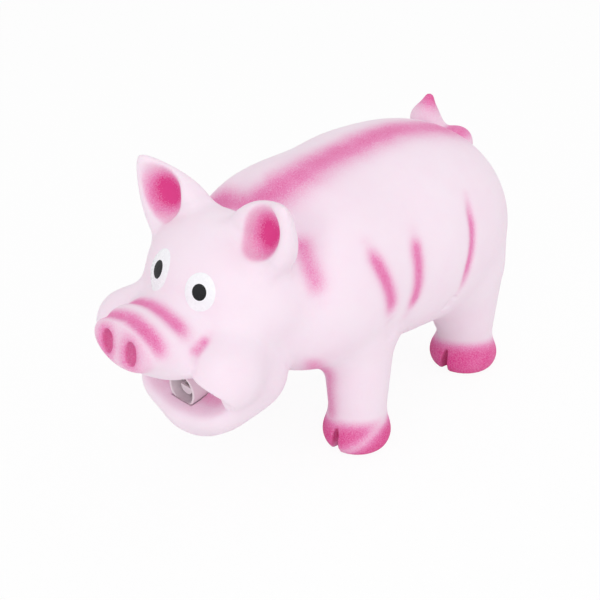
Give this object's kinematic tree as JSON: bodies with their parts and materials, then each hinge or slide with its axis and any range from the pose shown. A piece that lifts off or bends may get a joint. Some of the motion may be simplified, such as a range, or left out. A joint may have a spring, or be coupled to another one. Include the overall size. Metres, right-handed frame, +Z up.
{
  "type": "latex pig dog toy",
  "caption": "Soft hollow latex pig that stands on its hooves, with cupped ears, a curled tail and a reed voice in its open mouth that grunts when the back is pressed.",
  "frame": {"origin": "on the floor under the middle of the toy's overall box", "axes": "+Z up, the pig faces -Y and its left side is towards +X"},
  "size_m": [0.108, 0.2288, 0.1381],
  "materials": {
    "latex": "matte cast latex, pale pink with airbrushed darker pink strokes and painted eyes",
    "pink_latex": "matte cast latex, airbrushed pink",
    "fibre": "loose white polyester fibre",
    "white_plastic": "smooth moulded plastic",
    "clear_amber_plastic": "thin smooth film"
  },
  "bodies": {
    "body": {"body_skin": "latex", "head_skin": "latex", "front_left_leg": "latex", "front_right_leg": "latex", "rear_left_leg": "latex", "rear_right_leg": "latex", "fibre_filling": "fibre", "voice_tube": "white_plastic", "reed_block": "white_plastic", "reed_wedge": "white_plastic"},
    "back_panel": {"back_panel": "latex"},
    "left_ear": {"left_ear": "pink_latex"},
    "right_ear": {"right_ear": "pink_latex"},
    "tail": {"tail": "pink_latex"},
    "reed": {"reed": "clear_amber_plastic"}
  },
  "joints": [
    {"name": "back_press", "type": "slide", "parent": "body", "child": "back_panel", "axis": [0, 0, -1], "range_m": [0, 0.01], "stiffness_N_per_m": 400, "deforming": ["fibre_filling"]},
    {"name": "left_ear_bend", "type": "hinge", "parent": "body", "child": "left_ear", "pos_m": [0.02598, -0.05592, 0.11458], "axis": [0.8988, 0, -0.4384], "range_deg": [-20, 20], "stiffness_Nm_per_rad": 0.08},
    {"name": "right_ear_bend", "type": "hinge", "parent": "body", "child": "right_ear", "pos_m": [-0.02598, -0.05592, 0.11458], "axis": [0.8988, 0, 0.4384], "range_deg": [-20, 20], "stiffness_Nm_per_rad": 0.08},
    {"name": "tail_bend", "type": "hinge", "parent": "body", "child": "tail", "pos_m": [0, 0.1038, 0.10999], "axis": [1, 0, 0], "range_deg": [-15, 15], "stiffness_Nm_per_rad": 0.05},
    {"name": "reed_flutter", "type": "hinge", "parent": "body", "child": "reed", "pos_m": [0, -0.063, 0.05097], "axis": [-1, 0, 0], "range_deg": [-1, 3], "stiffness_Nm_per_rad": 0.0004}
  ]
}
